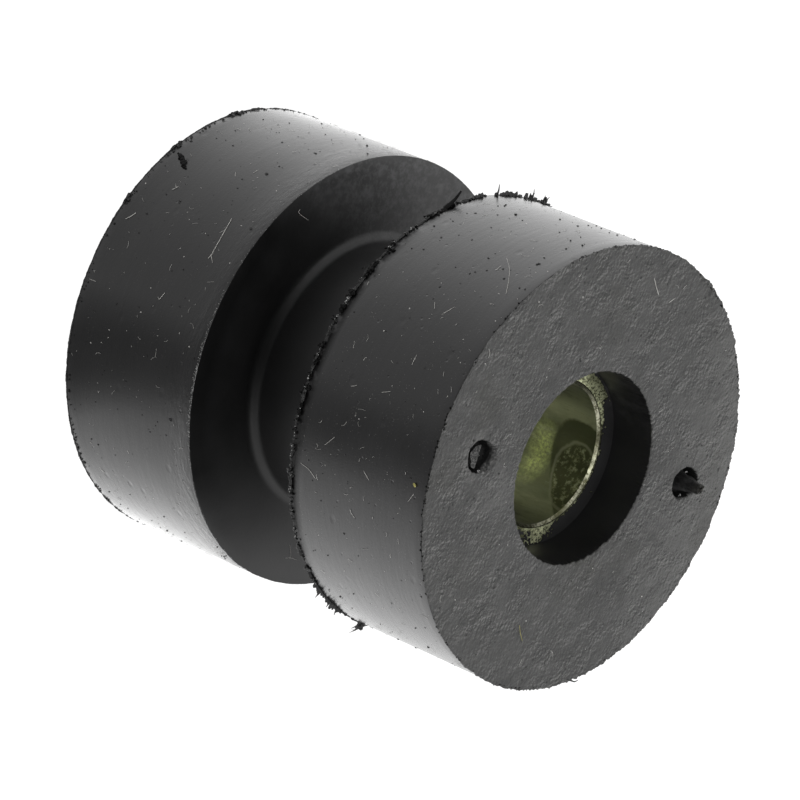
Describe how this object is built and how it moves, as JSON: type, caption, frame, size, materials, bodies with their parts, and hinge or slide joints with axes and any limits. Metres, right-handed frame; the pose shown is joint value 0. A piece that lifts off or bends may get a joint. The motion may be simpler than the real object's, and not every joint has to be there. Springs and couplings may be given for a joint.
{
  "type": "anti-vibration mount",
  "caption": "Spool-shaped rubber mount with thick discs either side of a panel groove, moulded on a recessed steel sleeve that takes a through bolt and isolates vibration.",
  "frame": {"origin": "centre of the lower rubber end face", "axes": "+Z along the sleeve's axis, from the lower end face to the upper one that has the gate wells; +X towards one gate well"},
  "size_m": [0.04, 0.04, 0.044],
  "materials": {
    "rubber": "moulded, matte grain on the end faces and satin on the turned sides",
    "sleeve_steel": "yellow zinc plated, dulled"
  },
  "bodies": {
    "root": {"rubber_body": "rubber", "inner_sleeve": "sleeve_steel"}
  },
  "joints": []
}
